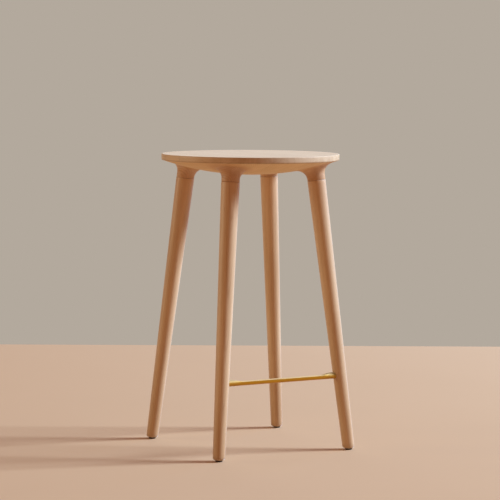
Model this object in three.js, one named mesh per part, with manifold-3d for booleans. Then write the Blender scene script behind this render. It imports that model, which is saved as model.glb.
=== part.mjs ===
// Counter stool with a footrest: a round, dished-under wooden seat with four carved leg sockets,
// four turned and splayed legs, and a round brass footrest with a milled tread between the two
// front legs. Each leg has a short round tenon in its socket and is drawn home by a hanger bolt
// that runs into a threaded insert in the seat.
//
// Millimetres, +Z up, +Y to the back. The origin is on the floor under the centre of the seat.

import * as THREE from 'three';
import { ParametricGeometry } from 'three/addons/geometries/ParametricGeometry.js';
import { mergeVertices } from 'three/addons/utils/BufferGeometryUtils.js';
import Module from 'manifold-3d';

const wasm = await Module();
wasm.setup();

// ---- Driving dimensions -------------------------------------------------------------------

// Seat
const SEAT_HEIGHT = 650;
const SEAT_DIAMETER = 394;
const RIM_HEIGHT = 13; // upright band round the edge
const SEAT_THICKNESS = 46; // at the centre, down to the bottom of the dome
const SEAT_TOP_ROUND = 1.5;
const SEAT_LOWER_ROUND = 1.5;

// Carved leg sockets under the seat
const SOCKET_NECK_DIAMETER = 39.6;
const SOCKET_FLARE = 23; // radius of the hollow curve from the neck into the dome
const SOCKET_MOUTH_CHAMFER = 0.6;
const SHOULDER_DROP = 56; // from the seat's top to the leg's shoulder, along the vertical
const LEG_INSET = 45.5; // from the seat's edge in to the leg's axis, at the shoulder

// Legs
const LEG_SPLAY = THREE.MathUtils.degToRad(7.5); // away from the vertical, along the diagonal
const LEG_TOP_DIAMETER = 40.2;
const LEG_FOOT_DIAMETER = 26.8; // where the taper would meet the floor
const LEG_SHOULDER_ROUND = 0.9;
const LEG_FOOT_ROUND = 5;
const TENON_DIAMETER = 24;
const TENON_LENGTH = 16;
const TENON_CHAMFER = 1.2;

// Hanger bolt and threaded insert
const BOLT_DIAMETER = 8;
const BOLT_DEPTH_IN_LEG = 36;
const BOLT_POINT = 5; // length of the pointed wood-screw end
const BOLT_CHAMFER = 1;
const BOLT_SHORT_OF_INSERT_TOP = 2;
const INSERT_DIAMETER = 13;
const INSERT_LENGTH = 18;
const INSERT_CHAMFER = 0.8;

// Brass footrest
const FOOTREST_HEIGHT = 165; // of the bar's axis above the floor
const FOOTREST_DIAMETER = 14;
const FOOTREST_DEPTH_IN_LEG = 12;
const FOOTREST_END_CHAMFER = 0.8;
const TREAD_ABOVE_AXIS = 1.8; // the milled flat, above the bar's axis
const TREAD_RAMP_LENGTH = 24; // from the full bar down to the flat
const TREAD_SETBACK = 8; // full bar left standing beside each leg

// Glides: a moulded carrier with its own nail, and a felt disc bonded under it
const CARRIER_DIAMETER = 16;
const CARRIER_THICKNESS = 1.2;
const CARRIER_CHAMFER = 0.4;
const FELT_DIAMETER = 15;
const FELT_THICKNESS = 1.8;
const NAIL_DIAMETER = 2.6;
const NAIL_LENGTH = 18;
const NAIL_POINT = 3;

// Clearances
const SEAM = 0.3; // between faces that are drawn up against each other
const FIT = 0.3; // round a pin in its hole, on the radius
const TENON_END_GAP = 1; // room for air and dust above the tenon

// How finely round shapes are divided
const SEAT_SEGMENTS = 72;
const LEG_SEGMENTS = 32;
const BAR_SEGMENTS = 32;
const HARDWARE_SEGMENTS = 16;
const DOME_STEPS = 6;
const FLARE_STEPS = 6;
const ROUND_STEPS = 3;
const FOOT_ROUND_STEPS = 4;

const WELD = 1e-4; // vertices nearer than this are one

// ---- Sizes that follow ----------------------------------------------------------------------

const seatRadius = SEAT_DIAMETER / 2;
const shoulderHeight = SEAT_HEIGHT - SHOULDER_DROP;
const shoulderRadius = seatRadius - LEG_INSET; // leg axes, out from the centre, at the shoulders
const legLength = shoulderHeight / Math.cos(LEG_SPLAY); // shoulder to floor along the axis
const glideHeight = FELT_THICKNESS + CARRIER_THICKNESS;
const legEndHeight = glideHeight + SEAM;
const insertBottom = TENON_LENGTH + TENON_END_GAP;
const insertTop = insertBottom + INSERT_LENGTH;

// The dome under the seat is part of a sphere through the rim's lower edge.
const domeSag = SEAT_THICKNESS - RIM_HEIGHT;
const domeRadius = (seatRadius ** 2 + domeSag ** 2) / (2 * domeSag);
const domeCentre = new THREE.Vector3(0, 0, SEAT_HEIGHT - SEAT_THICKNESS + domeRadius);

const corners = [
  { name: 'front_left', angle: -0.75 * Math.PI, front: true },
  { name: 'front_right', angle: -0.25 * Math.PI, front: true },
  { name: 'back_right', angle: 0.25 * Math.PI, front: false },
  { name: 'back_left', angle: 0.75 * Math.PI, front: false },
];

// ---- Materials ------------------------------------------------------------------------------

const seatWood = { color: 0xd9bd9c, roughness: 0.55, metalness: 0 };
const legWood = { color: 0xcfa77c, roughness: 0.55, metalness: 0 };
const brass = { color: 0xc79a45, roughness: 0.3, metalness: 1 };
const zincPlate = { color: 0xb4b6b8, roughness: 0.4, metalness: 1 };
const mouldedNylon = { color: 0x2c2622, roughness: 0.6, metalness: 0 };
const felt = { color: 0x3a2c24, roughness: 0.95, metalness: 0 };

// ---- Solids ---------------------------------------------------------------------------------

// A closed three.js geometry as a solid that can be joined and cut.
function solid(geometry) {
  const bare = geometry.clone();
  bare.deleteAttribute('normal');
  bare.deleteAttribute('uv');
  const welded = mergeVertices(bare, WELD);
  const index = welded.index.array;
  const triangles = [];
  for (let i = 0; i < index.length; i += 3) {
    const [a, b, c] = index.slice(i, i + 3);
    if (a !== b && b !== c && c !== a) triangles.push(a, b, c);
  }
  return new wasm.Manifold(new wasm.Mesh({
    numProp: 3,
    vertProperties: welded.attributes.position.array,
    triVerts: new Uint32Array(triangles),
  }));
}

function geometryOf(body) {
  const mesh = body.getMesh();
  const geometry = new THREE.BufferGeometry();
  geometry.setAttribute('position', new THREE.BufferAttribute(mesh.vertProperties, 3));
  geometry.setIndex(new THREE.BufferAttribute(mesh.triVerts, 1));
  geometry.computeVertexNormals();
  return geometry;
}

// A solid of revolution about Z. The profile runs upwards from the axis back to the axis.
function turned(profile, segments) {
  return new THREE.LatheGeometry(profile, segments).rotateX(Math.PI / 2);
}

// A closed skin through a stack of rings, from the lowest up. Each ring gives its point at an
// angle, and the first and the last ring are single points.
function skinned(rings, segments) {
  const last = rings.length - 1;
  const pointAt = (u, v, target) => target.copy(rings[Math.round(v * last)](2 * Math.PI * u));
  return new ParametricGeometry(pointAt, segments, last);
}

function point(z) {
  return () => new THREE.Vector3(0, 0, z);
}

function circle(radius, z) {
  return (angle) => new THREE.Vector3(radius * Math.cos(angle), radius * Math.sin(angle), z);
}

function outward(angle) {
  return new THREE.Vector3(Math.cos(angle), Math.sin(angle), 0);
}

function arc(x, y, radius, from, to, steps) {
  return new THREE.EllipseCurve(x, y, radius, radius, from, to, to < from).getPoints(steps);
}

// The unit vector a share of the way round from one unit vector to another.
function turnedTowards(from, to, share) {
  const whole = from.angleTo(to);
  return from.clone().multiplyScalar(Math.sin((1 - share) * whole))
    .addScaledVector(to, Math.sin(share * whole))
    .divideScalar(Math.sin(whole));
}

// A pin with a chamfer or a point at each end, upright from one height to another.
function pin(diameter, bottom, top, lowerTaper, upperTaper) {
  const radius = diameter / 2;
  const profile = [
    new THREE.Vector2(0, bottom),
    new THREE.Vector2(radius - lowerTaper.inset, bottom),
    new THREE.Vector2(radius, bottom + lowerTaper.length),
    new THREE.Vector2(radius, top - upperTaper.length),
    new THREE.Vector2(radius - upperTaper.inset, top),
    new THREE.Vector2(0, top),
  ];
  return turned(profile, HARDWARE_SEGMENTS);
}

function bore(diameter, bottom, top, segments) {
  const radius = diameter / 2 + FIT;
  return new THREE.CylinderGeometry(radius, radius, top - bottom, segments)
    .rotateX(Math.PI / 2)
    .translate(0, 0, (bottom + top) / 2);
}

// ---- Where each leg stands --------------------------------------------------------------------

// A leg's own frame has its origin at the shoulder, +Z up along the leg and +X away from the
// centre of the stool.
function legFrame(angle) {
  const frame = new THREE.Group();
  frame.position.copy(outward(angle)).multiplyScalar(shoulderRadius).setZ(shoulderHeight);
  frame.rotation.set(0, -LEG_SPLAY, angle, 'ZYX');
  frame.updateMatrix();
  return frame;
}

// The leg's axis, out from the centre of the stool, at a height above the floor.
function legAxisRadius(height) {
  return shoulderRadius + (shoulderHeight - height) * Math.tan(LEG_SPLAY);
}

// The leg's radius at a distance below its shoulder.
function legRadius(below) {
  return THREE.MathUtils.lerp(LEG_TOP_DIAMETER, LEG_FOOT_DIAMETER, below / legLength) / 2;
}

// ---- Footrest sizes ---------------------------------------------------------------------------

const footrestLegAxis = legAxisRadius(FOOTREST_HEIGHT) / Math.SQRT2; // both in x and in y
const footrestLegRadius = legRadius((shoulderHeight - FOOTREST_HEIGHT) / Math.cos(LEG_SPLAY));
const footrestReach = footrestLegAxis - footrestLegRadius; // half of the clear span
const footrestHalfLength = footrestReach + FOOTREST_DEPTH_IN_LEG;

// ---- Seat -------------------------------------------------------------------------------------

function seatBlank() {
  const lower = SEAT_LOWER_ROUND;
  const upper = SEAT_TOP_ROUND;
  const lowerX = seatRadius - lower;
  const lowerZ = domeCentre.z - Math.sqrt((domeRadius - lower) ** 2 - lowerX ** 2);
  const domeEdge = Math.atan2(lowerZ - domeCentre.z, lowerX);
  const profile = [
    ...arc(0, domeCentre.z, domeRadius, -Math.PI / 2, domeEdge, DOME_STEPS),
    ...arc(lowerX, lowerZ, lower, domeEdge, 0, ROUND_STEPS).slice(1),
    ...arc(seatRadius - upper, SEAT_HEIGHT - upper, upper, 0, Math.PI / 2, ROUND_STEPS),
    new THREE.Vector2(0, SEAT_HEIGHT),
  ];
  profile[0].x = 0;
  return solid(turned(profile, SEAT_SEGMENTS));
}

// The largest flare that a neck has room for. The neck is shortest on the side towards the centre
// of the seat, and there the flare starts no lower than the mouth's chamfer.
function largestFlare(neck, sphere) {
  const start = SEAM + SOCKET_MOUTH_CHAMFER + WELD;
  const aside = neck + sphere.x;
  return ((sphere.z - start) ** 2 - domeRadius ** 2 + aside ** 2) / (2 * (domeRadius - aside));
}

// One socket, in its leg's frame. Its skin is the path of a ball of the flare's radius that rolls
// round the neck and touches the dome: the neck stands at a slant to the dome, so the flare is
// longer on one side than on the other, and it runs into both without an edge.
function socketBody(frame) {
  const neck = SOCKET_NECK_DIAMETER / 2;
  const sphere = domeCentre.clone().applyMatrix4(frame.matrix.clone().invert());
  const flare = Math.min(SOCKET_FLARE, largestFlare(neck, sphere));
  const ballCentre = (angle) => {
    const centre = outward(angle).multiplyScalar(neck + flare);
    const aside = Math.hypot(centre.x - sphere.x, centre.y - sphere.y);
    return centre.setZ(sphere.z - Math.sqrt((domeRadius + flare) ** 2 - aside ** 2));
  };
  const flareRing = (share) => (angle) => {
    const centre = ballCentre(angle);
    const toDome = sphere.clone().sub(centre).normalize();
    const towards = turnedTowards(outward(angle).negate(), toDome, share);
    return centre.addScaledVector(towards, flare);
  };
  const rootRing = (angle) => {
    const onDome = flareRing(1)(angle);
    return onDome.addScaledVector(sphere.clone().sub(onDome).normalize(), RIM_HEIGHT / 2);
  };
  const rings = [
    point(SEAM),
    circle(neck - SOCKET_MOUTH_CHAMFER, SEAM),
    circle(neck, SEAM + SOCKET_MOUTH_CHAMFER),
  ];
  for (let step = 0; step <= FLARE_STEPS; step++) rings.push(flareRing(step / FLARE_STEPS));
  rings.push(rootRing, point(insertBottom));
  return solid(skinned(rings, LEG_SEGMENTS));
}

// What is bored out of a socket, in its leg's frame: the hole for the tenon, and the one for the
// insert above it.
function socketBores() {
  const tenonHole = bore(TENON_DIAMETER, -SEAM, insertBottom, LEG_SEGMENTS);
  const insertHole = bore(INSERT_DIAMETER, TENON_LENGTH, insertTop + SEAM, HARDWARE_SEGMENTS);
  return solid(tenonHole).add(solid(insertHole));
}

function seatBody() {
  let body = seatBlank();
  const frames = corners.map(({ angle }) => legFrame(angle));
  for (const frame of frames) body = body.add(socketBody(frame).transform(frame.matrix.elements));
  for (const frame of frames) body = body.subtract(socketBores().transform(frame.matrix.elements));
  return body;
}

// ---- Legs -------------------------------------------------------------------------------------

// The foot is cut level with the floor, so its rounded edge is the path of a ball that rolls round
// inside the slanting leg and touches the level end.
function legBlank() {
  const up = new THREE.Vector3(Math.sin(LEG_SPLAY), 0, Math.cos(LEG_SPLAY));
  const foot = legRadius(legLength - legEndHeight);
  const footRing = (share) => (angle) => {
    const centre = outward(angle).multiplyScalar(foot - LEG_FOOT_ROUND);
    centre.z = (legEndHeight + LEG_FOOT_ROUND - centre.x * up.x) / up.z - legLength;
    const towards = turnedTowards(up.clone().negate(), outward(angle), share);
    return centre.addScaledVector(towards, LEG_FOOT_ROUND);
  };
  const top = LEG_TOP_DIAMETER / 2;
  const edge = LEG_SHOULDER_ROUND;
  const tenon = TENON_DIAMETER / 2;
  const rings = [point(legEndHeight / up.z - legLength)];
  for (let step = 0; step <= FOOT_ROUND_STEPS; step++) rings.push(footRing(step / FOOT_ROUND_STEPS));
  for (const { x, y } of arc(top - edge, -edge, edge, 0, Math.PI / 2, ROUND_STEPS)) {
    rings.push(circle(x, y));
  }
  rings.push(
    circle(tenon, 0),
    circle(tenon, TENON_LENGTH - TENON_CHAMFER),
    circle(tenon - TENON_CHAMFER, TENON_LENGTH),
    point(TENON_LENGTH),
  );
  return solid(skinned(rings, LEG_SEGMENTS));
}

function legBody(corner) {
  const toLeg = legFrame(corner.angle).matrix.invert();
  const cutAt = (geometry) => solid(geometry).transform(toLeg.elements);
  const boltHole = bore(BOLT_DIAMETER, -BOLT_DEPTH_IN_LEG - FIT, TENON_LENGTH + 1, HARDWARE_SEGMENTS);
  const { x, y } = outward(corner.angle).multiplyScalar(legAxisRadius(legEndHeight));
  const nailHole = bore(NAIL_DIAMETER, 0, glideHeight + NAIL_LENGTH + FIT, HARDWARE_SEGMENTS);
  let body = legBlank().subtract(solid(boltHole)).subtract(cutAt(nailHole.translate(x, y, 0)));
  if (corner.front) {
    const barHole = bore(
      FOOTREST_DIAMETER, -footrestHalfLength - FIT, footrestHalfLength + FIT, BAR_SEGMENTS,
    ).rotateY(Math.PI / 2).translate(0, -footrestLegAxis, FOOTREST_HEIGHT);
    body = body.subtract(cutAt(barHole));
  }
  return body;
}

// ---- Hanger bolt and insert, in the leg's frame -------------------------------------------------

function boltBody() {
  const tip = { inset: BOLT_DIAMETER / 2 - BOLT_CHAMFER, length: BOLT_POINT };
  const chamfer = { inset: BOLT_CHAMFER, length: BOLT_CHAMFER };
  const top = insertTop - BOLT_SHORT_OF_INSERT_TOP;
  return solid(pin(BOLT_DIAMETER, -BOLT_DEPTH_IN_LEG, top, tip, chamfer));
}

function insertBody() {
  const chamfer = { inset: INSERT_CHAMFER, length: INSERT_CHAMFER };
  const shell = pin(INSERT_DIAMETER, insertBottom + SEAM, insertTop, chamfer, chamfer);
  const hole = bore(BOLT_DIAMETER, insertBottom, insertTop + 1, HARDWARE_SEGMENTS);
  return solid(shell).subtract(solid(hole));
}

// ---- Footrest ---------------------------------------------------------------------------------

// The bar lies along X with its axis at the origin. The cutter's outline is seen from the front:
// the tread, a ramp up to the full bar at each end, and straight on past the top of the bar.
function footrestBody() {
  const radius = FOOTREST_DIAMETER / 2;
  const chamfer = FOOTREST_END_CHAMFER;
  const barProfile = [
    new THREE.Vector2(0, -footrestHalfLength),
    new THREE.Vector2(radius - chamfer, -footrestHalfLength),
    new THREE.Vector2(radius, -footrestHalfLength + chamfer),
    new THREE.Vector2(radius, footrestHalfLength - chamfer),
    new THREE.Vector2(radius - chamfer, footrestHalfLength),
    new THREE.Vector2(0, footrestHalfLength),
  ];
  const bar = solid(turned(barProfile, BAR_SEGMENTS).rotateY(Math.PI / 2));

  const rampTop = footrestReach - TREAD_SETBACK;
  const treadEnd = rampTop - TREAD_RAMP_LENGTH;
  const rise = radius - TREAD_ABOVE_AXIS;
  const outline = new THREE.Shape([
    new THREE.Vector2(-treadEnd, TREAD_ABOVE_AXIS),
    new THREE.Vector2(treadEnd, TREAD_ABOVE_AXIS),
    new THREE.Vector2(rampTop + TREAD_RAMP_LENGTH, radius + rise),
    new THREE.Vector2(-rampTop - TREAD_RAMP_LENGTH, radius + rise),
  ]);
  const width = 2 * FOOTREST_DIAMETER;
  const cutter = new THREE.ExtrudeGeometry(outline, { depth: width, bevelEnabled: false })
    .rotateX(Math.PI / 2)
    .translate(0, width / 2, 0);
  return bar.subtract(solid(cutter));
}

// ---- Glides, standing on the floor at the origin --------------------------------------------------

function carrierBody() {
  const radius = CARRIER_DIAMETER / 2;
  const nail = NAIL_DIAMETER / 2;
  const profile = [
    new THREE.Vector2(0, FELT_THICKNESS),
    new THREE.Vector2(radius, FELT_THICKNESS),
    new THREE.Vector2(radius, glideHeight - CARRIER_CHAMFER),
    new THREE.Vector2(radius - CARRIER_CHAMFER, glideHeight),
    new THREE.Vector2(nail, glideHeight),
    new THREE.Vector2(nail, glideHeight + NAIL_LENGTH - NAIL_POINT),
    new THREE.Vector2(0, glideHeight + NAIL_LENGTH),
  ];
  return solid(turned(profile, 2 * HARDWARE_SEGMENTS));
}

function feltBody() {
  const radius = FELT_DIAMETER / 2;
  const disc = new THREE.CylinderGeometry(radius, radius, FELT_THICKNESS, 2 * HARDWARE_SEGMENTS)
    .rotateX(Math.PI / 2)
    .translate(0, 0, FELT_THICKNESS / 2);
  return solid(disc);
}

// ---- Assembly ---------------------------------------------------------------------------------

function piece(name, body, finish) {
  const mesh = new THREE.Mesh(geometryOf(body), new THREE.MeshStandardMaterial(finish));
  mesh.name = name;
  return mesh;
}

function legAssembly(corner) {
  const group = legFrame(corner.angle);
  group.add(
    piece(`leg_${corner.name}`, legBody(corner), legWood),
    piece(`hanger_bolt_${corner.name}`, boltBody(), zincPlate),
    piece(`threaded_insert_${corner.name}`, insertBody(), zincPlate),
  );
  return group;
}

function glideAssembly(corner) {
  const group = new THREE.Group();
  group.position.copy(outward(corner.angle)).multiplyScalar(legAxisRadius(legEndHeight));
  group.add(
    piece(`glide_carrier_${corner.name}`, carrierBody(), mouldedNylon),
    piece(`felt_pad_${corner.name}`, feltBody(), felt),
  );
  return group;
}

const stool = new THREE.Group();
stool.add(piece('seat', seatBody(), seatWood));
for (const corner of corners) stool.add(legAssembly(corner), glideAssembly(corner));
const footrest = piece('footrest_bar', footrestBody(), brass);
footrest.position.set(0, -footrestLegAxis, FOOTREST_HEIGHT);
stool.add(footrest);

export default stool;
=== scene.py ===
"""The looks of a counter stool: pale hardwood seat and legs, brushed brass footrest, felt glides."""

import math
import random
from collections import namedtuple

import bmesh
import bpy
from mathutils import Matrix, Vector


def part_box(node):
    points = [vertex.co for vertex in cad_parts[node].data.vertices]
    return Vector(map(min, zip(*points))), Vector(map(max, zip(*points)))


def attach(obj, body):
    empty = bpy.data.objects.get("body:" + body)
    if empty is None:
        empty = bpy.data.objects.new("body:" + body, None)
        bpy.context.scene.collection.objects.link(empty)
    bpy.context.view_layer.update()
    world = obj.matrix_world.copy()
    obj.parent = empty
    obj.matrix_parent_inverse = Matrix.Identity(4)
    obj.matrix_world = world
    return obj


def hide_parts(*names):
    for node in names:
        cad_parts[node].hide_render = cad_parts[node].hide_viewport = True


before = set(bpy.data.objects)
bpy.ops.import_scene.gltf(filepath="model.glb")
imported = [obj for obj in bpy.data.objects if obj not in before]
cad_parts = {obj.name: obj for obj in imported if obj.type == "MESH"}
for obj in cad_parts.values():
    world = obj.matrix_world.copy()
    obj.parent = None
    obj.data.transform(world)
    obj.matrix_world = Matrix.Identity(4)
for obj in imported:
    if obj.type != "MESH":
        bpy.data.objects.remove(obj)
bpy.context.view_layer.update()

# ---- Sizes, in metres ----------------------------------------------------------------------------

seat_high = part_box("seat")[1]
seat_top = seat_high.z
seat_radius = seat_high.x

RIM_HEIGHT = 0.013
SEAT_THICKNESS = 0.046
SEAT_TOP_ROUND = 0.0015
SEAT_LOWER_ROUND = 0.0015

NECK_RADIUS = 0.0198
FLARE_RADIUS = 0.023
NECK_MOUTH_ROUND = 0.0006
SHOULDER_DROP = 0.056
LEG_INSET = 0.0455

LEG_SPLAY = math.radians(7.5)
LEG_TOP_RADIUS = 0.0201
LEG_FOOT_RADIUS = 0.0134
LEG_SHOULDER_ROUND = 0.0009
LEG_FOOT_ROUND = 0.005
TENON_RADIUS = 0.012
TENON_LENGTH = 0.016
TENON_CHAMFER = 0.0012
BOLT_RADIUS = 0.004
BOLT_DEPTH = 0.036
INSERT_RADIUS = 0.0065
INSERT_LENGTH = 0.018

NAIL_RADIUS = 0.0013
NAIL_LENGTH = 0.018
NAIL_POINT = 0.003
GLIDE_EDGE_ROUND = 0.0003
FELT_EDGE_ROUND = 0.0004
FELT_FRAY = 0.0002

TREAD_ABOVE_AXIS = 0.0018
TREAD_RAMP_LENGTH = 0.024
TREAD_SETBACK = 0.008
TREAD_EDGE = 0.0003
FOOTREST_DEPTH_IN_LEG = 0.012
FOOTREST_END_ROUND = 0.0008

SEAM = 0.0003
FIT = 0.0003
TENON_END_GAP = 0.001

shoulder_height = seat_top - SHOULDER_DROP
shoulder_radius = seat_radius - LEG_INSET
leg_length = shoulder_height / math.cos(LEG_SPLAY)
insert_bottom = TENON_LENGTH + TENON_END_GAP
insert_top = insert_bottom + INSERT_LENGTH

dome_sag = SEAT_THICKNESS - RIM_HEIGHT
dome_radius = (seat_radius**2 + dome_sag**2) / (2 * dome_sag)
dome_centre = Vector((0, 0, seat_top - SEAT_THICKNESS + dome_radius))

carrier_low, carrier_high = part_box("glide_carrier_front_left")
carrier_top = carrier_high.z - NAIL_LENGTH
carrier_radius = (carrier_high.x - carrier_low.x) / 2
felt_low, felt_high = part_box("felt_pad_front_left")
felt_radius = (felt_high.x - felt_low.x) / 2
leg_end = carrier_top + SEAM

bar_low, bar_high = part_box("footrest_bar")
bar_radius = (bar_high.z - bar_low.z) / 2
bar_centre = (bar_low + bar_high) / 2
bar_half_length = (bar_high.x - bar_low.x) / 2

CORNERS = {
    "front_left": math.radians(-135),
    "front_right": math.radians(-45),
    "back_right": math.radians(45),
    "back_left": math.radians(135),
}

# How finely the skins are divided. The top's rings are given as shares of its flat part's radius.
RIM_STEPS = 72
SPOKE_STEPS = 30
DOME_STEPS = 12
FLARE_STEPS = 14
TOP_RINGS = (0.97, 0.8, 0.6, 0.4, 0.2)
MOUTH_STEPS = 3
TOP_ROUND_STEPS = 6
ROUND_STEPS = 4
LEG_SEGMENTS = 72
LEG_STEPS = 110
FOOT_STEPS = 8
DISC_SEGMENTS = 48
FLOOR_SEGMENTS = 256

# The bar's points crowd in a band at the tread's edge, which never comes quite to the bar's top.
BAR_STEP = 0.0015
BAR_SIDE_STEPS = 24
TREAD_EDGE_STEPS = 8
TREAD_EDGE_BAND = math.radians(4)
TREAD_EDGE_LIMIT = 0.995
TREAD_STEPS = 12

WELD_DISTANCE = 1e-6
SHARP_ANGLE = math.radians(38)
FRAY_SEED = 7


# ---- Meshes --------------------------------------------------------------------------------------

def skin(mesh, rings, closed=True):
    """Faces over a stack of rings of points. A ring of one point is a pole."""
    made = [[mesh.verts.new(p) for p in ring] for ring in rings]
    for lower, upper in zip(made, made[1:]):
        count = max(len(lower), len(upper))
        for i in range(count if closed else count - 1):
            j = (i + 1) % count
            corners = [lower[i % len(lower)], lower[j % len(lower)]]
            corners += [upper[j % len(upper)], upper[i % len(upper)]]
            mesh.faces.new(list(dict.fromkeys(corners)))


def smooth(data):
    """Shades a mesh smooth, with the edges crisp where it turns sharply."""
    data.shade_smooth()
    data.set_sharp_from_angle(angle=SHARP_ANGLE)


def piece(name, mesh, material, matrix=None):
    """Welds a bmesh, turns its faces outwards and makes it a smooth-shaded object."""
    bmesh.ops.remove_doubles(mesh, verts=mesh.verts, dist=WELD_DISTANCE)
    bmesh.ops.recalc_face_normals(mesh, faces=mesh.faces)
    data = bpy.data.meshes.new(name)
    mesh.to_mesh(data)
    mesh.free()
    data.materials.append(material)
    smooth(data)
    made = bpy.data.objects.new(name, data)
    bpy.context.scene.collection.objects.link(made)
    if matrix is not None:
        made.matrix_world = matrix
    return made


def settle(made, node):
    """Rides on the one body, in place of a CAD node."""
    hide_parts(node)
    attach(made, "root")


def turns(count):
    """Angles spaced evenly round a whole turn."""
    return [math.tau * i / count for i in range(count)]


def polar(radius, angle, z=0.0):
    """A point at a distance from the Z axis, in a direction and at a height."""
    return Vector((radius * math.cos(angle), radius * math.sin(angle), z))


def arc(x, y, radius, start, end, steps):
    """Points round an arc in a plane, both ends included."""
    angles = [start + (end - start) * i / steps for i in range(steps + 1)]
    return [(x + radius * math.cos(a), y + radius * math.sin(a)) for a in angles]


def leg_matrix(angle):
    """A leg's own frame: its origin at the shoulder, +Z up the leg, +X away from the centre."""
    place = Matrix.Translation(polar(shoulder_radius, angle, shoulder_height))
    return place @ Matrix.Rotation(angle, 4, "Z") @ Matrix.Rotation(-LEG_SPLAY, 4, "Y")


def leg_axis_radius(height):
    """How far a leg's axis is from the middle of the stool at a height above the floor."""
    return shoulder_radius + (shoulder_height - height) * math.tan(LEG_SPLAY)


def leg_radius(below):
    """A leg's radius at a length below its shoulder."""
    return LEG_TOP_RADIUS + (LEG_FOOT_RADIUS - LEG_TOP_RADIUS) * below / leg_length


# ---- Seat ----------------------------------------------------------------------------------------

def flare_point(leg_frame, sphere, angle, share):
    """A point on the hollow curve between a socket's neck and the dome.

    A ball of the flare's radius rolls round the neck and touches the dome, whose centre is given
    as sphere in the leg's own frame."""
    out = polar(1, angle)
    centre = out * (NECK_RADIUS + FLARE_RADIUS)
    aside = (centre - sphere).xy.length
    centre.z = sphere.z - math.sqrt((dome_radius + FLARE_RADIUS) ** 2 - aside**2)
    towards = (-out).slerp((sphere - centre).normalized(), share)
    return leg_frame @ (centre + towards * FLARE_RADIUS)


def socket_profile():
    """The inside of a socket in the leg's own frame, from the blind end of the insert's hole down
    past the tenon's hole and out to the neck."""
    hole = TENON_RADIUS + FIT
    insert_hole = INSERT_RADIUS + FIT
    mouth = NECK_RADIUS - NECK_MOUTH_ROUND
    profile = [
        (0, insert_top + SEAM),
        (insert_hole, insert_top + SEAM),
        (insert_hole, insert_bottom),
        (hole, insert_bottom),
        (hole, SEAM),
    ]
    rounded = arc(mouth, SEAM + NECK_MOUTH_ROUND, NECK_MOUTH_ROUND, -math.pi / 2, 0, MOUTH_STEPS)
    return profile + rounded


def underside_rings(border):
    """A socket at angle 0, its flare and the dome round it, out to a border on the dome."""
    leg_frame = leg_matrix(0)
    sphere = leg_frame.inverted() @ dome_centre
    axis_near_dome = Vector((leg_axis_radius(shoulder_height + SHOULDER_DROP / 3), 0, 0))
    angles = [math.atan2(*(p - axis_near_dome).yx) for p in border]
    rings = [[leg_frame @ polar(r, a, z) for a in angles] for r, z in socket_profile()]
    rings[0] = rings[0][:1]
    for step in range(FLARE_STEPS + 1):
        share = step / FLARE_STEPS
        rings.append([flare_point(leg_frame, sphere, a, share) for a in angles])
    root = rings[-1]
    for step in range(1, DOME_STEPS + 1):
        share = step / DOME_STEPS
        ring = [start.lerp(end, share) for start, end in zip(root, border)]
        for p in ring:
            p.z = dome_centre.z - math.sqrt(dome_radius**2 - p.xy.length_squared)
        rings.append(ring)
    return rings


def seat_quarter(mesh, turn):
    """A quarter of the seat, about one leg: its socket, the dome round it, the rim and the top."""
    spin = Matrix.Rotation(turn, 4, "Z")
    lower_x = seat_radius - SEAT_LOWER_ROUND
    lower_z = dome_centre.z - math.sqrt((dome_radius - SEAT_LOWER_ROUND) ** 2 - lower_x**2)
    dome_edge = math.atan2(lower_z - dome_centre.z, lower_x)
    dome_reach = dome_radius * math.cos(dome_edge)

    eighth = math.tau / 8
    rim_angles = [eighth * (2 * i / RIM_STEPS - 1) for i in range(RIM_STEPS + 1)]
    spokes = [1 - i / SPOKE_STEPS for i in range(1, SPOKE_STEPS + 1)]
    border = [polar(dome_reach, a) for a in rim_angles]
    border += [polar(dome_reach * s, eighth) for s in spokes]
    border += [polar(dome_reach * s, -eighth) for s in reversed(spokes[:-1])]
    skin(mesh, [[spin @ p for p in ring] for ring in underside_rings(border)])

    top_radius = seat_radius - SEAT_TOP_ROUND
    round_z = seat_top - SEAT_TOP_ROUND
    edge = arc(lower_x, lower_z, SEAT_LOWER_ROUND, dome_edge, 0, ROUND_STEPS)
    edge += arc(top_radius, round_z, SEAT_TOP_ROUND, 0, math.pi / 2, TOP_ROUND_STEPS)
    edge += [(top_radius * s, seat_top) for s in TOP_RINGS]
    outer = [[spin @ polar(r, a, z) for a in rim_angles] for r, z in edge]
    skin(mesh, outer + [[Vector((0, 0, seat_top))]], closed=False)


def make_seat(material):
    mesh = bmesh.new()
    for turn in CORNERS.values():
        seat_quarter(mesh, turn)
    settle(piece("carved_seat", mesh, material), "seat")


# ---- Legs ----------------------------------------------------------------------------------------

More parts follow.
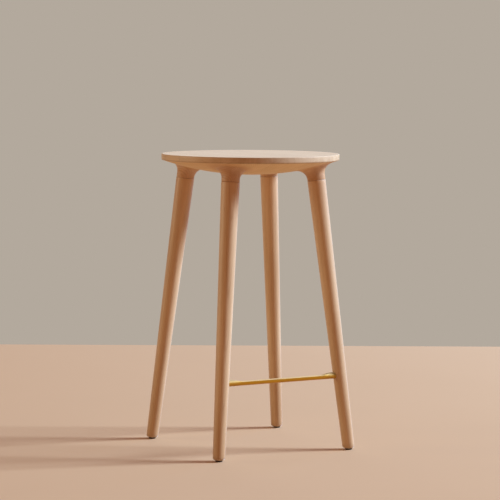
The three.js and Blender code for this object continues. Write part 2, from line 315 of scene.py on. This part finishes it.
def foot_rings():
    """The foot of a leg in its own frame, from the blind end of the nail's hole out to its side.
    The nail's hole is upright and the foot's end is level, as the floor has it."""
    up = Vector((math.sin(LEG_SPLAY), 0, math.cos(LEG_SPLAY)))
    level = Vector((math.cos(LEG_SPLAY), 0, -math.sin(LEG_SPLAY)))
    foot = Vector((0, 0, leg_end / up.z - leg_length))

    def nail_ring(radius, height):
        across = [level * math.cos(a) + Vector((0, math.sin(a), 0)) for a in turns(LEG_SEGMENTS)]
        return [foot + up * height + out * radius for out in across]

    def foot_point(angle, share):
        out = polar(1, angle)
        centre = out * (leg_radius(leg_length - leg_end) - LEG_FOOT_ROUND)
        centre.z = (leg_end + LEG_FOOT_ROUND - centre.x * up.x) / up.z - leg_length
        return centre + (-up).slerp(out, share) * LEG_FOOT_ROUND

    nail_hole = NAIL_RADIUS + FIT
    rings = [nail_ring(0, NAIL_LENGTH)[:1]]
    rings += [nail_ring(nail_hole, height) for height in (NAIL_LENGTH, 0)]
    for step in range(FOOT_STEPS + 1):
        rings.append([foot_point(a, step / FOOT_STEPS) for a in turns(LEG_SEGMENTS)])
    return rings


def tenon_profile():
    """The top of a leg, from its shoulder's round over the tenon to the blind end of the bolt's
    hole."""
    shoulder = LEG_SHOULDER_ROUND
    bolt_hole = BOLT_RADIUS + FIT
    return arc(LEG_TOP_RADIUS - shoulder, -shoulder, shoulder, 0, math.pi / 2, ROUND_STEPS) + [
        (TENON_RADIUS, 0),
        (TENON_RADIUS, TENON_LENGTH - TENON_CHAMFER),
        (TENON_RADIUS - TENON_CHAMFER, TENON_LENGTH),
        (bolt_hole, TENON_LENGTH),
        (bolt_hole, -BOLT_DEPTH - FIT),
    ]


def leg_rings():
    """A turned leg in its own frame, from the nail's hole round to the bolt's hole."""
    rings = foot_rings()
    bottom = [p.z for p in rings[-1]]
    for step in range(1, LEG_STEPS):
        heights = [z + (-LEG_SHOULDER_ROUND - z) * step / LEG_STEPS for z in bottom]
        rings.append([polar(leg_radius(-z), a, z) for a, z in zip(turns(LEG_SEGMENTS), heights)])
    rings += [[polar(r, a, z) for a in turns(LEG_SEGMENTS)] for r, z in tenon_profile()]
    return rings + [[Vector((0, 0, -BOLT_DEPTH - FIT))]]


def bore_for_footrest(leg):
    """Bores a front leg for the end of the footrest."""
    mesh = bmesh.new()
    reach = bar_half_length + FIT
    ends = [bar_centre + Vector((x, 0, 0)) for x in (-reach, reach)]
    across = [Vector((0, *polar(bar_radius + FIT, a).xy)) for a in turns(LEG_SEGMENTS)]
    rings = [[end + out for out in across] for end in ends]
    skin(mesh, [ends[:1], *rings, ends[1:]])
    drill = piece("drill", mesh, leg.data.materials[0])
    cut = leg.modifiers.new("footrest_bore", "BOOLEAN")
    cut.operation = "DIFFERENCE"
    cut.object = drill
    cut.solver = "EXACT"
    bpy.context.view_layer.update()
    depsgraph = bpy.context.evaluated_depsgraph_get()
    bored = bpy.data.meshes.new_from_object(leg.evaluated_get(depsgraph))
    leg.modifiers.clear()
    leg.data = bored
    smooth(bored)
    bpy.data.objects.remove(drill)


def make_legs(material):
    for corner, angle in CORNERS.items():
        mesh = bmesh.new()
        skin(mesh, leg_rings())
        leg = piece(f"turned_leg_{corner}", mesh, material, leg_matrix(angle))
        if corner.startswith("front"):
            bore_for_footrest(leg)
        settle(leg, f"leg_{corner}")


# ---- Footrest ------------------------------------------------------------------------------------

def smooth_least(a, b, blend):
    """The lesser of two numbers, with the corner between them rounded off."""
    overlap = max(blend - abs(a - b), 0) / blend
    return min(a, b) - overlap**2 * blend / 4


def tread_height(x):
    """The milled face above the bar's axis: level, with a ramp up and out of the bar at each end."""
    ramp_top = bar_half_length - FOOTREST_DEPTH_IN_LEG - TREAD_SETBACK
    ramp_foot = ramp_top - TREAD_RAMP_LENGTH
    slope = (bar_radius - TREAD_ABOVE_AXIS) / TREAD_RAMP_LENGTH
    climb = (abs(x) - ramp_foot) * slope
    return TREAD_ABOVE_AXIS - smooth_least(-climb, 0, 2 * TREAD_EDGE)


def footrest_ring(x, radius):
    """The bar's section at one place along it, up one side to the middle of the tread and down the
    other."""
    height = tread_height(x)
    top = math.pi / 2
    edge = math.asin(min(height / bar_radius, TREAD_EDGE_LIMIT))
    band = min(TREAD_EDGE_BAND, (top - edge) / 2)
    angles = [(edge - band + top) * i / BAR_SIDE_STEPS - top for i in range(BAR_SIDE_STEPS)]
    angles += [edge + band * (2 * i / TREAD_EDGE_STEPS - 1) for i in range(TREAD_EDGE_STEPS)]
    angles += [edge + band + (top - edge - band) * i / TREAD_STEPS for i in range(TREAD_STEPS + 1)]
    points = []
    for angle in angles:
        reach = radius
        if math.sin(angle) > 0:
            reach = smooth_least(radius, height / math.sin(angle), TREAD_EDGE)
        points.append((reach * math.cos(angle), reach * math.sin(angle)))
    points += [(-y, z) for y, z in reversed(points[1:-1])]
    return [bar_centre + Vector((x, y, z)) for y, z in points]


def make_footrest(material):
    shaft = bar_half_length - FOOTREST_END_ROUND
    core = bar_radius - FOOTREST_END_ROUND
    end = arc(shaft, core, FOOTREST_END_ROUND, math.pi / 2, 0, ROUND_STEPS)
    count = math.ceil(2 * shaft / BAR_STEP)
    stations = [(-x, r) for x, r in reversed(end)]
    stations += [(shaft * (2 * i / count - 1), bar_radius) for i in range(1, count)]
    stations += end
    rings = [footrest_ring(x, r) for x, r in stations]
    tips = [bar_centre + Vector((x, 0, 0)) for x in (-bar_half_length, bar_half_length)]
    mesh = bmesh.new()
    skin(mesh, [tips[:1], *rings, tips[1:]])
    settle(piece("brass_footrest", mesh, material), "footrest_bar")


# ---- Glides --------------------------------------------------------------------------------------

def disc_rings(centre, radius, bottom, top, edge, tufts=(0,) * DISC_SEGMENTS):
    """The side of a flat disc with rounded edges. Tufts push its points out, or in if negative."""
    profile = arc(radius - edge, bottom + edge, edge, -math.pi / 2, 0, ROUND_STEPS)
    profile += arc(radius - edge, top - edge, edge, 0, math.pi / 2, ROUND_STEPS)
    side = list(zip(turns(DISC_SEGMENTS), tufts))
    return [[centre + polar(r + tuft, a, z) for a, tuft in side] for r, z in profile]


def make_glide(corner, centre, nylon):
    """A moulded glide with its nail, from the middle of its face up to the nail's point."""
    point = carrier_top + NAIL_LENGTH
    rings = [[centre + Vector((0, 0, carrier_low.z))]]
    rings += disc_rings(centre, carrier_radius, carrier_low.z, carrier_top, GLIDE_EDGE_ROUND)
    for z in (carrier_top, point - NAIL_POINT):
        rings.append([centre + polar(NAIL_RADIUS, a, z) for a in turns(DISC_SEGMENTS)])
    rings.append([centre + Vector((0, 0, point))])
    mesh = bmesh.new()
    skin(mesh, rings)
    carrier = piece(f"nylon_glide_{corner}", mesh, nylon)
    settle(carrier, f"glide_carrier_{corner}")


def make_felt(corner, centre, fray, felt):
    """A felt disc whose side is a little frayed."""
    tufts = [fray.uniform(-FELT_FRAY, 0) for _ in range(DISC_SEGMENTS)]
    rings = disc_rings(centre, felt_radius, felt_low.z, felt_high.z, FELT_EDGE_ROUND, tufts)
    middles = [centre + Vector((0, 0, z)) for z in (felt_low.z, felt_high.z)]
    mesh = bmesh.new()
    skin(mesh, [middles[:1], *rings, middles[1:]])
    pad = piece(f"felt_disc_{corner}", mesh, felt)
    settle(pad, f"felt_pad_{corner}")


def make_glides(nylon, felt):
    fray = random.Random(FRAY_SEED)
    for corner, angle in CORNERS.items():
        centre = polar(leg_axis_radius(leg_end), angle)
        make_glide(corner, centre, nylon)
        make_felt(corner, centre, fray, felt)


# ---- Shader arithmetic ---------------------------------------------------------------------------

def operator_pair(operation):
    """A Python operator on a signal, and its reflected form with the number on the left."""
    def plain(self, other):
        return self.finish.maths(operation, self, other)

    def reflected(self, other):
        return self.finish.maths(operation, other, self)

    return plain, reflected


class Signal:
    """A shader socket. Plain arithmetic on one that carries a number adds Math nodes."""

    __add__, __radd__ = operator_pair("ADD")
    __sub__, __rsub__ = operator_pair("SUBTRACT")
    __mul__, __rmul__ = operator_pair("MULTIPLY")
    __truediv__, __rtruediv__ = operator_pair("DIVIDE")
    __pow__, __rpow__ = operator_pair("POWER")

    def __init__(self, finish, socket):
        self.finish = finish
        self.socket = socket

    def __abs__(self):
        return self.finish.maths("ABSOLUTE", self)

    def output(self, name):
        """Another output of the node that this socket belongs to."""
        return Signal(self.finish, self.socket.node.outputs[name])


class Finish:
    """A material's or a world's node tree, and the few nodes that every finish here shares."""

    def __init__(self, tree):
        self.tree = tree
        tree.nodes.clear()

    def node(self, kind, settings=None, sockets=None, output=0):
        """One node: its settings or its ramp's stops first, then its sockets' values or links."""
        made = self.tree.nodes.new(kind)
        for name, value in (settings or {}).items():
            if name == "stops":
                self.fill_ramp(made.color_ramp, value)
            else:
                setattr(made, name, value)
        for name, value in (sockets or {}).items():
            if isinstance(value, Signal):
                self.tree.links.new(value.socket, made.inputs[name])
            else:
                made.inputs[name].default_value = value
        found = made.outputs[output] if made.outputs else None
        return Signal(self, found)

    @staticmethod
    def fill_ramp(ramp, stops):
        while len(ramp.elements) < len(stops):
            ramp.elements.new(0.5)
        for element, (place, colour) in zip(ramp.elements, stops):
            element.position = place
            element.color = (*colour, 1)

    def maths(self, operation, *values):
        return self.node("ShaderNodeMath", {"operation": operation}, dict(enumerate(values)))

    def vector(self, operation, *vectors, output=0):
        sockets = dict(enumerate(vectors))
        return self.node("ShaderNodeVectorMath", {"operation": operation}, sockets, output)

    def length(self, vector):
        return self.vector("LENGTH", vector, output="Value")

    def axis(self, vector, name):
        """One part of a vector: X, Y or Z."""
        return self.node("ShaderNodeSeparateXYZ", None, {0: vector}, name)

    def coordinates(self, kind="Object"):
        """Where a point of the surface is in its object's frame, or the Normal there."""
        return self.node("ShaderNodeTexCoord", output=kind)

    def mix(self, share, first, second):
        """Two colours mixed. On this node they are sockets 6 and 7, and the result is output 2."""
        return self.node("ShaderNodeMix", {"data_type": "RGBA"}, {0: share, 6: first, 7: second}, 2)

    def noise(self, vector, scale, detail=2.0, roughness=0.5):
        sockets = {"Vector": vector, "Scale": scale, "Detail": detail, "Roughness": roughness}
        return self.node("ShaderNodeTexNoise", None, sockets)

    def ramp(self, value, *stops):
        """Shades of grey along a value that goes from 0 to 1."""
        grey = [(place, (shade,) * 3) for place, shade in stops]
        return self.node("ShaderNodeValToRGB", {"stops": grey}, {"Fac": value})

    def rise(self, value, low, high):
        """A soft step from 0, where the value is low, to 1, where it is high."""
        sockets = {"Value": value, "From Min": low, "From Max": high}
        return self.node("ShaderNodeMapRange", {"interpolation_type": "SMOOTHSTEP"}, sockets)

    def bump(self, height, strength, distance):
        sockets = {"Height": height, "Strength": strength, "Distance": distance}
        return self.node("ShaderNodeBump", None, sockets)

    def principled(self, sockets):
        return self.node("ShaderNodeBsdfPrincipled", None, sockets)

    def surface(self, shader):
        self.node("ShaderNodeOutputMaterial", None, {"Surface": shader})


def new_material(name):
    """A material, and the finish that its nodes are added to."""
    made = bpy.data.materials.new(name)
    made.use_nodes = True
    return made, Finish(made.node_tree)


# ---- Wood ----------------------------------------------------------------------------------------

# Colours here and below are linear.
WOOD_PALE = (0.715, 0.478, 0.257, 1)
WOOD_DEEP = (0.505, 0.288, 0.122, 1)
WOOD_PORE_AND_SHADE = (0.279, 0.138, 0.056, 1)
WOOD_END = (0.465, 0.350, 0.244, 1)
# Painted bounce light: the warmer, lighter colour of faces that look down to the floor.
WOOD_PAINTED_BOUNCE = (0.830, 0.530, 0.205, 1)
# Painted shade: the darker, redder colour round the necks and the legs' tops, under the seat.
WOOD_PAINTED_SHADE = (0.560, 0.235, 0.085, 1)
# Painted sheen: the paler, greyer colour of the rim and of faces that look up.
WOOD_PAINTED_SHEEN = (0.784, 0.648, 0.431, 1)
WOOD_DEPTH = 0.165
YEARS_PER_METRE = 420
GRAIN_WANDER = 0.012

# Where in its log a stave or a leg's board was: the least, and how much chance adds.
STAVE_LOG_PLACE = (-0.07, 0.0, 0.05 - seat_top)
STAVE_LOG_SPREAD = (0.14, 3.0, 0.09)
LEG_LOG_PLACE = (0.035, 0.015, 0.0)
LEG_LOG_SPREAD = (0.05, 0.06, 5.0)

# Where the line of a joint starts and is full, in staves from a stave's middle, and where the
# painted shade round a neck does, in metres from the middle of its socket.
STAVE_WIDTH = 0.0485
STAVE_SEED = 3.7
STAVE_JOINT = (0.494, 0.499)
NECK_PAINTED_SHADE = (0.056, 0.036)

# How far below its shoulder or above its end a leg has painted shade.
LEG_SEAM_SHADE = 0.0016
LEG_PAINTED_SHADE = 0.11
LEG_PAINTED_FALLOFF = 0.34
LEG_FOOT_SHADE = 0.014

# How far up or down wood faces where painted sheen, or painted bounce light, starts and is full.
UPWARD_SHEEN_AND_MATT = (0.5, 0.9)
DOWNWARD_BOUNCE_AND_MATT = (-0.75, -0.97)

# A cut gives its place in the log; how deep its tone is, painted shade included; its painted sheen;
# its painted shade, darker and redder; and its dark joints and painted shade lines.
Cut = namedtuple("Cut", "place depth handled shaded dark")


def along_grain(finish, place, grain, stretch):
    """The place, squeezed along the grain so that noise on it runs in streaks."""
    scale = [1 / stretch if name == grain else 1.0 for name in "XYZ"]
    return finish.vector("MULTIPLY", place, scale)


def timber(finish, place, grain):
    """The figure of straight timber at a place measured from its pith: year rings, open pores,
    fine streaks and drifts of tone, each from 0 to 1."""
    wander = finish.noise(along_grain(finish, place, grain, 12), scale=9).output("Color")
    drift = finish.vector("SUBTRACT", wander, (0.5, 0.5, 0.5))
    bent = finish.vector("MULTIPLY_ADD", drift, (GRAIN_WANDER,) * 3, place)
    radius = finish.length(along_grain(finish, bent, grain, 65))
    year = finish.maths("FRACT", radius * YEARS_PER_METRE)
    rings = finish.ramp(year, (0.0, 1.0), (0.12, 0.25), (0.7, 0.0), (0.96, 0.55), (1.0, 1.0))
    fine = finish.noise(along_grain(finish, bent, grain, 30), scale=1500, roughness=0.6)
    pores = finish.ramp(fine, (0.60, 0.0), (0.74, 1.0)) * (0.45 + rings * 0.55)
    streaks = finish.noise(along_grain(finish, place, grain, 25), scale=100, detail=3, roughness=0.6)
    tone = finish.noise(along_grain(finish, place, grain, 8), scale=32, detail=3)
    return rings, pores, streaks, tone


def wood(name, grain, find_cut, figure, sheen):
    """A soap-finished pale hardwood with its grain along an axis and a figure of some strength.
    What faces down is matt, and painted warmer and lighter as bounce light from the floor. What
    faces up is matt, and painted paler as sheen. The cut says where in the log the wood was, how much
    deeper it is with some painted shade in that, and where painted sheen pales it, painted shade
    reddens it, and joints or painted shade lines darken it."""
    made, finish = new_material(name)
    cut = find_cut(finish, finish.coordinates())
    rings, pores, streaks, tone = timber(finish, cut.place, grain)
    normal = finish.coordinates("Normal")
    upward = finish.axis(normal, "Z")
    end_grain = abs(finish.axis(normal, grain)) ** 3
    # Faces that look down get painted bounce light, faces that look up painted sheen; both are
    # rougher.
    downward_bounce_and_matt = finish.rise(upward, *DOWNWARD_BOUNCE_AND_MATT)
    upward_sheen_and_matt = finish.rise(upward, *UPWARD_SHEEN_AND_MATT)

    lively = (rings - 0.25) * 0.38 + (tone - 0.5) * 0.75 + (streaks - 0.5)
    depth = lively * (figure - upward_sheen_and_matt * 0.3) + cut.depth + WOOD_DEPTH
    colour = finish.mix(depth, WOOD_PALE, WOOD_DEEP)
    colour = finish.mix(end_grain * 0.35, colour, WOOD_END)
    # Painted sheen: the rim and faces that look up are paler and greyer.
    colour = finish.mix(cut.handled + upward_sheen_and_matt * 0.63, colour, WOOD_PAINTED_SHEEN)
    # Painted bounce light: faces that look down are warmer and lighter.
    colour = finish.mix(downward_bounce_and_matt * 0.6, colour, WOOD_PAINTED_BOUNCE)
    # Painted shade: darker and redder round the necks and the legs' tops, under the seat.
    colour = finish.mix(cut.shaded, colour, WOOD_PAINTED_SHADE)
    colour = finish.mix(pores * 0.45, colour, WOOD_PORE_AND_SHADE)
    # Dark joints, and painted shade lines at the rim's lower edge, the legs' seam and their feet.
    colour = finish.mix(cut.dark, colour, WOOD_PORE_AND_SHADE)

    roughness = 0.38 + tone * 0.08 + pores * 0.2 + rings * 0.05 + end_grain * 0.1
    roughness = roughness + downward_bounce_and_matt * 0.3 + upward_sheen_and_matt * 0.3
    height = streaks * 0.4 - pores - rings * 0.3 - cut.dark * 0.8
    finish.surface(finish.principled({
        "Base Color": colour, "Roughness": roughness,
        "Normal": finish.bump(height, strength=0.25, distance=0.0002),
        "Sheen Weight": sheen, "Sheen Roughness": 0.45,
    }))
    return made


def from_axis(finish, place):
    """How far a place is from the Z axis."""
    return finish.length(finish.vector("MULTIPLY", place, (1, 1, 0)))


def staves(finish, place):
    """The seat is glued up from staves that run from front to back. Each is cut from a board of its
    own, with its pith on its own side. Gives the place in the log, each stave's chance, and the
    joints."""
    across = finish.axis(place, "X") / STAVE_WIDTH
    number = finish.maths("FLOOR", across)
    dice = {"W": number + STAVE_SEED}
    chance = finish.node("ShaderNodeTexWhiteNoise", {"noise_dimensions": "1D"}, dice)
    middle = finish.node("ShaderNodeCombineXYZ", None, {"X": (number + 0.5) * STAVE_WIDTH})
    from_middle = finish.vector("SUBTRACT", place, middle)
    log = finish.vector("MULTIPLY_ADD", chance.output("Color"), STAVE_LOG_SPREAD, STAVE_LOG_PLACE)
    joint = finish.rise(abs(finish.maths("FRACT", across) - 0.5), *STAVE_JOINT)
    return finish.vector("ADD", from_middle, log), chance, joint


def seat_cut(finish, place):
    """Each stave of the seat has its own shade. The rim is painted paler and greyer as sheen, with its
    top edge worn pale and a painted shade line along its lower edge. The necks have painted shade
    under the seat, darker and redder."""
    log_place, chance, joint = staves(finish, place)
    out = from_axis(finish, place)
    height = finish.axis(place, "Z")
    edge = SEAT_TOP_ROUND
    rim_foot = seat_top - RIM_HEIGHT

    # Painted shade round each neck, under the seat: darker and redder.
    socket = polar(shoulder_radius, math.tau / 8)
    from_socket = finish.vector("SUBTRACT", finish.vector("ABSOLUTE", place), socket)
    neck = finish.rise(from_axis(finish, from_socket), *NECK_PAINTED_SHADE)
    neck = neck * finish.rise(height, rim_foot, rim_foot - edge)

    worn = finish.rise(out, seat_radius - 2 * edge, seat_radius - edge)
    worn = worn * finish.rise(height, seat_top - 2 * edge, seat_top - edge)
    # Painted sheen on the rim's side: paler and greyer.
    rim = finish.rise(out, seat_radius - 3 * edge, seat_radius - edge)
    rim = rim * finish.rise(height, rim_foot, rim_foot + 2 * edge)
    # A painted shade line along the rim's lower edge.
    lower_edge_shade = finish.rise(abs(height - rim_foot), 2 * edge, edge / 2)
    lower_edge_shade = lower_edge_shade * finish.rise(out, seat_radius - 4 * edge, seat_radius - edge)
    # The necks' painted shade also deepens the tone.
    depth = chance * 0.26 - worn * 0.12 + neck * 0.3
    return Cut(log_place, depth, rim * 0.2, neck * 0.36, joint * 0.3 + lower_edge_shade * 0.3)


def leg_cut(finish, place):
    """Each leg is turned from a board of its own, the back pair from deeper ones. It has painted
    shade:
    darker towards the foot, where less light falls, and redder at the top, under the seat, with a
    little more in the seam with the seat and at the foot's end."""
    corner = finish.vector("SIGN", finish.node("ShaderNodeObjectInfo", output="Location"))
    dice = {"Vector": corner}
    chance = finish.node("ShaderNodeTexWhiteNoise", {"noise_dimensions": "3D"}, dice)
    log = finish.vector("MULTIPLY_ADD", chance.output("Color"), LEG_LOG_SPREAD, LEG_LOG_PLACE)
    height = finish.axis(place, "Z")
    end = leg_end - leg_length
    # Painted shade: darker towards the foot, where less light falls.
    low = finish.rise(height, -LEG_PAINTED_FALLOFF, end)
    depth = 0.13 + finish.axis(corner, "Y") * 0.06 + low * 0.5
    # Painted shade from the seat: redder at the top of the leg.
    shaded = finish.rise(height, -LEG_PAINTED_SHADE, 0.0)
    # Painted shade in the seam with the seat.
    seam = finish.rise(height, -LEG_SEAM_SHADE, 0.0)
    # Painted shade at the foot's end.
    foot = finish.rise(height, end + LEG_FOOT_SHADE, end)
    log_place = finish.vector("ADD", place, log)
    return Cut(log_place, depth, 0.0, shaded * 0.16, seam * 0.35 + foot * 0.3)


# ---- Metal, nylon and felt -----------------------------------------------------------------------

BRASS = (0.66, 0.350, 0.040, 1)
BRASS_DEEP = (0.54, 0.265, 0.026, 1)
# Paler top of the bar: worn where feet rest, and a painted reflection of the light above.
BRASS_WORN_AND_REFLECTION = (0.90, 0.74, 0.47, 1)
# Greyer and paler where the ends face up: tarnish, and a painted tint on their highlight.
BRASS_TARNISH_AND_HIGHLIGHT = (0.41, 0.40, 0.28, 1)
BRASS_SCUFFED = (0.42, 0.29, 0.17, 1)
BRASS_DULL_START = 0.036
BRASS_DULL_FULL = 0.014
ZINC = (0.50, 0.51, 0.53, 1)
ZINC_PALE = (0.68, 0.69, 0.70, 1)
NYLON = (0.024, 0.013, 0.008, 1)
NYLON_PALE = (0.042, 0.024, 0.015, 1)
FELT = (0.028, 0.013, 0.007, 1)
FELT_FIBRE = (0.095, 0.050, 0.030, 1)


def brushed_brass():
    """Brushed along the bar and scuffed. Paler on top, worn where feet rest and with a painted
    reflection of the light above. Dull near the legs, where faces that look up have a painted tint on
    their highlight.
    """
    made, finish = new_material("brushed_brass")
    place = finish.coordinates()
    upward = finish.axis(finish.coordinates("Normal"), "Z")
    lines = finish.noise(along_grain(finish, place, "X", 40), scale=5200, roughness=0.7)
    cloud = finish.noise(place, scale=55, detail=3)
    specks = finish.noise(place, scale=420, detail=4, roughness=0.65)
    scuffs = finish.ramp(specks, (0.58, 0.0), (0.72, 1.0))
    # Faces that look up: worn where feet rest, and a painted reflection of the light above.
    worn_top_and_reflection = finish.rise(upward, 0.5, 0.95)
    leg = bar_half_length - FOOTREST_DEPTH_IN_LEG
    from_middle = abs(finish.axis(place, "X"))
    dull = finish.rise(from_middle, leg - BRASS_DULL_START, leg - BRASS_DULL_FULL)

    colour = finish.mix(cloud, BRASS, BRASS_DEEP)
    colour = finish.mix(worn_top_and_reflection * 0.75, colour, BRASS_WORN_AND_REFLECTION)
    # Near the legs, faces that look up are greyer and paler: tarnish, and a painted tint on their
    # highlight.
    colour = finish.mix(dull * finish.rise(upward, 0.0, 0.5) * 0.4, colour, BRASS_TARNISH_AND_HIGHLIGHT)
    colour = finish.mix(dull * 0.1 + scuffs * 0.15, colour, BRASS_SCUFFED)
    roughness = 0.26 + cloud * 0.1 + scuffs * 0.12 + lines * 0.05 + worn_top_and_reflection * 0.22 + dull * 0.3
    finish.surface(finish.principled({
        "Base Color": colour, "Metallic": 1.0, "Roughness": roughness,
        "Normal": finish.bump(lines, strength=0.12, distance=0.0001),
    }))
    return made


def zinc_plate():
    """The bolts' and inserts' clouded plating."""
    made, finish = new_material("zinc_plate")
    cloud = finish.noise(finish.coordinates(), scale=180, detail=4)
    finish.surface(finish.principled({
        "Base Color": finish.mix(cloud, ZINC, ZINC_PALE), "Metallic": 1.0,
        "Roughness": 0.28 + cloud * 0.2,
    }))
    return made


def moulded_nylon():
    """Dark nylon with the fine grain of its mould."""
    made, finish = new_material("moulded_nylon")
    grain = finish.noise(finish.coordinates(), scale=2500, detail=3)
    finish.surface(finish.principled({
        "Base Color": finish.mix(grain, NYLON, NYLON_PALE), "Roughness": 0.5 + grain * 0.2,
        "Normal": finish.bump(grain, strength=0.2, distance=0.0001),
        "Specular IOR Level": 0.35,
    }))
    return made


def dark_felt():
    """Matted dark fibres, some of them paler."""
    made, finish = new_material("dark_felt")
    fibres = finish.noise(finish.coordinates(), scale=3200, detail=5, roughness=0.75)
    finish.surface(finish.principled({
        "Base Color": finish.mix(fibres, FELT, FELT_FIBRE), "Roughness": 0.95,
        "Normal": finish.bump(fibres, strength=0.8, distance=0.0003),
        "Specular IOR Level": 0.2, "Sheen Weight": 0.15, "Sheen Roughness": 0.6,
    }))
    return made


# ---- Camera, floor, backdrop and light -----------------------------------------------------------

UP = Vector((0, 0, 1))

CAMERA_AZIMUTH = math.radians(-28.65)
CAMERA_DISTANCE = 4.828
CAMERA_HEIGHT = 0.859
CAMERA_TILT = math.radians(5.012)
CAMERA_ROLL = math.radians(0.266)
CAMERA_LENS_MM = 156.94
CAMERA_SENSOR_MM = 36

camera_back = Vector((math.sin(CAMERA_AZIMUTH), -math.cos(CAMERA_AZIMUTH), 0))
camera_right = Vector((math.cos(CAMERA_AZIMUTH), math.sin(CAMERA_AZIMUTH), 0))

FLOOR_COLOUR = (0.645, 0.441, 0.264, 1)
FLOOR_CLOUD = (0.607, 0.412, 0.244, 1)
FLOOR_RADIUS = 2.5
FLOOR_BEHIND = 1.68
FLOOR_DROP = 0.0002

WALL_COLOUR = (0.451, 0.397, 0.337, 1)
ROOM_LIGHT = (1.0, 0.26, 0.03, 1)
ROOM_LIGHT_STRENGTH = 0.25

WINDOW_BEHIND = math.radians(7)
WINDOW_ELEVATION = math.radians(31)
LAMPS_AIM = Vector((0, 0, 0.35))


def make_camera():
    """A long lens a little above the seat, tilted down towards the stool."""
    ahead = -camera_back * math.cos(CAMERA_TILT) - UP * math.sin(CAMERA_TILT)
    up = camera_right.cross(ahead)
    right = camera_right * math.cos(CAMERA_ROLL) + up * math.sin(CAMERA_ROLL)
    up = right.cross(ahead)
    camera = bpy.data.objects.new("camera", bpy.data.cameras.new("camera"))
    camera.data.lens = CAMERA_LENS_MM
    camera.data.sensor_width = CAMERA_SENSOR_MM
    place = camera_back * CAMERA_DISTANCE + UP * CAMERA_HEIGHT
    camera.matrix_world = Matrix.Translation(place) @ Matrix((right, up, -ahead)).transposed().to_4x4()
    bpy.context.scene.collection.objects.link(camera)
    bpy.context.scene.camera = camera


def make_world():
    """A plain backdrop where the camera, gloss or glass looks, and soft light all round."""
    world = bpy.data.worlds.new("studio")
    bpy.context.scene.world = world
    world.use_nodes = True
    finish = Finish(world.node_tree)
    ray = finish.node("ShaderNodeLightPath", output="Is Camera Ray")
    seen = finish.maths("MAXIMUM", ray, ray.output("Is Glossy Ray"))
    seen = finish.maths("MAXIMUM", seen, ray.output("Is Transmission Ray"))
    backdrop = finish.node("ShaderNodeBackground", None, {"Color": WALL_COLOUR, "Strength": 1.0})
    glow = {"Color": ROOM_LIGHT, "Strength": ROOM_LIGHT_STRENGTH}
    light = finish.node("ShaderNodeBackground", None, glow)
    mixed = finish.node("ShaderNodeMixShader", None, {0: seen, 1: light, 2: backdrop})
    finish.node("ShaderNodeOutputWorld", None, {"Surface": mixed})


def softbox(name, direction, distance, size, power, colour):
    """A rectangular lamp that looks at the stool from a direction."""
    data = bpy.data.lights.new(name, "AREA")
    data.shape = "RECTANGLE"
    data.size, data.size_y = size
    data.energy = power
    data.color = colour
    lamp = bpy.data.objects.new(name, data)
    bpy.context.scene.collection.objects.link(lamp)
    towards = direction.normalized()
    lamp.location = LAMPS_AIM + towards * distance
    lamp.rotation_euler = towards.to_track_quat("Z", "Y").to_euler()
    lamp.visible_camera = False
    return lamp


def make_lights():
    """A window beside the stool and a little behind it, the sky beyond it, and the room's own light
    from the other side and from behind."""
    level = camera_right * math.cos(WINDOW_BEHIND) - camera_back * math.sin(WINDOW_BEHIND)
    sun = level * math.cos(WINDOW_ELEVATION) + UP * math.sin(WINDOW_ELEVATION)
    sky = camera_right * 0.78 - camera_back * 0.61 + UP * 0.18
    room = UP * 0.27 - camera_right
    behind = UP * 0.35 - camera_back
    softbox("window", sun, distance=12, size=(3.6, 2.6), power=1970, colour=(0.82, 1.06, 1.37))
    skylight = softbox("skylight", sky, distance=6, size=(4, 3), power=120, colour=(0.50, 1.02, 2.05))
    skylight.visible_glossy = False
    softbox("room", room, distance=6, size=(3, 3), power=100, colour=(0.79, 0.81, 0.62))
    softbox("backlight", behind, distance=6, size=(5, 2.6), power=30, colour=(1.10, 1.18, 1.16))


def make_floor():
    """A wide disc, cut straight where it would meet a wall. It can be seen through from below."""
    made, finish = new_material("pale_floor")
    cloud = finish.noise(finish.coordinates(), scale=2.5)
    boards = finish.principled({
        "Base Color": finish.mix(cloud * 0.5, FLOOR_COLOUR, FLOOR_CLOUD), "Roughness": 0.8,
        "Specular IOR Level": 0.15,
    })
    facing = finish.node("ShaderNodeNewGeometry", output="True Normal")
    below = finish.maths("LESS_THAN", finish.axis(facing, "Z"), 0.0)
    clear = finish.node("ShaderNodeBsdfTransparent")
    finish.surface(finish.node("ShaderNodeMixShader", None, {0: below, 1: boards, 2: clear}))
    mesh = bmesh.new()
    ring = [polar(FLOOR_RADIUS, a, -FLOOR_DROP) for a in turns(FLOOR_SEGMENTS)]
    mesh.faces.new([mesh.verts.new(p) for p in ring])
    whole = [*mesh.verts, *mesh.edges, *mesh.faces]
    bmesh.ops.bisect_plane(mesh, geom=whole, plane_co=-camera_back * FLOOR_BEHIND,
                           plane_no=-camera_back, clear_outer=True)
    piece("floor", mesh, made)


# ---- The stool -----------------------------------------------------------------------------------

make_camera()
make_world()
make_lights()
make_floor()

make_seat(wood("seat_wood", "Y", seat_cut, figure=2.3, sheen=0.1))
make_legs(wood("leg_wood", "Z", leg_cut, figure=1.3, sheen=0.75))
make_footrest(brushed_brass())
make_glides(moulded_nylon(), dark_felt())

plated = zinc_plate()
for name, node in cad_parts.items():
    if name.startswith(("hanger_bolt", "threaded_insert")):
        node.data.materials.clear()
        node.data.materials.append(plated)

bpy.context.scene.view_settings.view_transform = "Standard"
